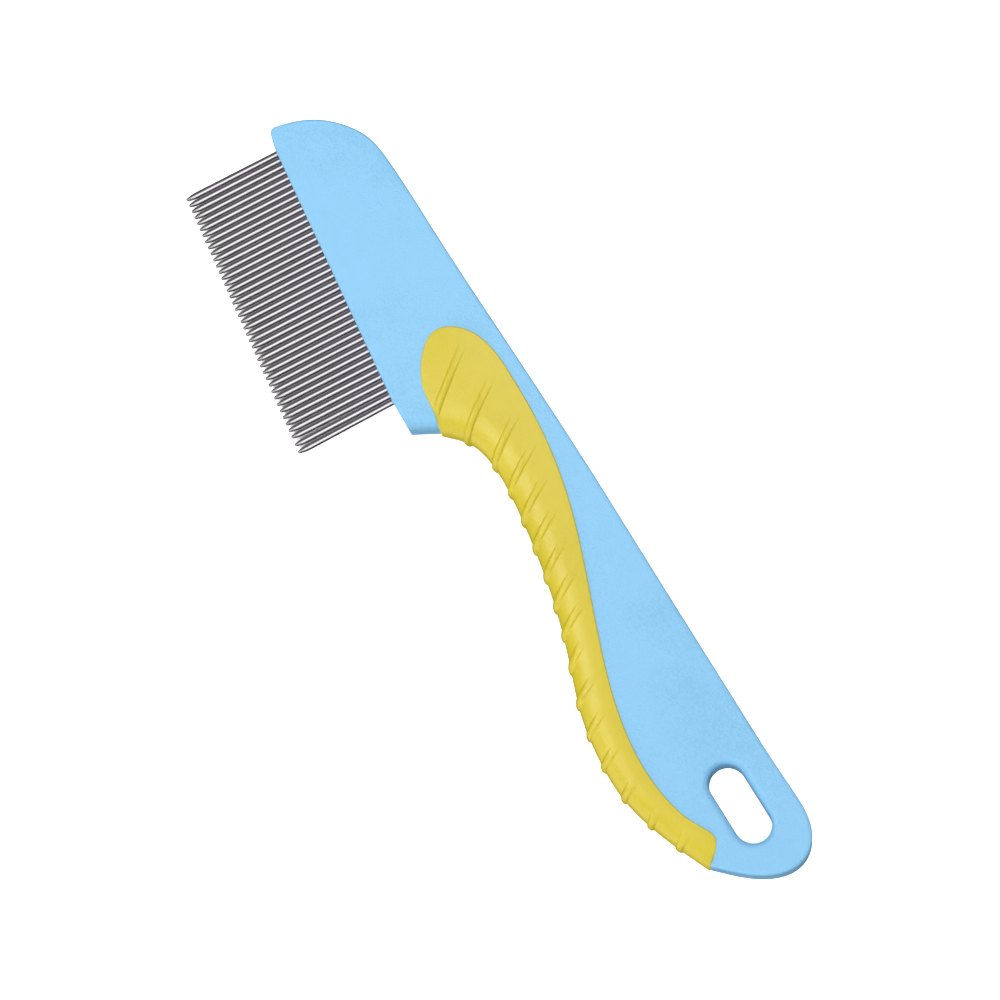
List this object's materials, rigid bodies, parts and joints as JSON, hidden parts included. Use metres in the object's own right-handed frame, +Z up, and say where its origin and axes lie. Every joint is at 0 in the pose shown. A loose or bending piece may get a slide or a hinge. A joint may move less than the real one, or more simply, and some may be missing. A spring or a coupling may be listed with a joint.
{
  "type": "flea comb",
  "caption": "Hand flea comb: a row of fine steel pins in a flat hard-plastic head and handle, with a ribbed soft grip and a hanging slot.",
  "frame": {"origin": "bottom centre of the comb's bounding box, on the plane it lies on", "axes": "+X along the back edge from the head to the tail, +Y towards the back edge and away from the pins, +Z up through the thickness"},
  "size_m": [0.179, 0.0458, 0.0096],
  "materials": {
    "hard_plastic": "satin moulded, very fine grain",
    "soft_grip": "matt soft-touch moulded",
    "pin_steel": "polished drawn wire"
  },
  "bodies": {
    "root": {"handle_body": "hard_plastic", "grip": "soft_grip", "tooth_01": "pin_steel", "tooth_02": "pin_steel", "tooth_03": "pin_steel", "tooth_04": "pin_steel", "tooth_05": "pin_steel", "tooth_06": "pin_steel", "tooth_07": "pin_steel", "tooth_08": "pin_steel", "tooth_09": "pin_steel", "tooth_10": "pin_steel", "tooth_11": "pin_steel", "tooth_12": "pin_steel", "tooth_13": "pin_steel", "tooth_14": "pin_steel", "tooth_15": "pin_steel", "tooth_16": "pin_steel", "tooth_17": "pin_steel", "tooth_18": "pin_steel", "tooth_19": "pin_steel", "tooth_20": "pin_steel", "tooth_21": "pin_steel", "tooth_22": "pin_steel", "tooth_23": "pin_steel", "tooth_24": "pin_steel", "tooth_25": "pin_steel", "tooth_26": "pin_steel", "tooth_27": "pin_steel", "tooth_28": "pin_steel", "tooth_29": "pin_steel", "tooth_30": "pin_steel", "tooth_31": "pin_steel", "tooth_32": "pin_steel", "tooth_33": "pin_steel", "tooth_34": "pin_steel", "tooth_35": "pin_steel", "tooth_36": "pin_steel", "tooth_37": "pin_steel", "tooth_38": "pin_steel", "tooth_39": "pin_steel", "tooth_40": "pin_steel", "tooth_41": "pin_steel"}
  },
  "joints": []
}
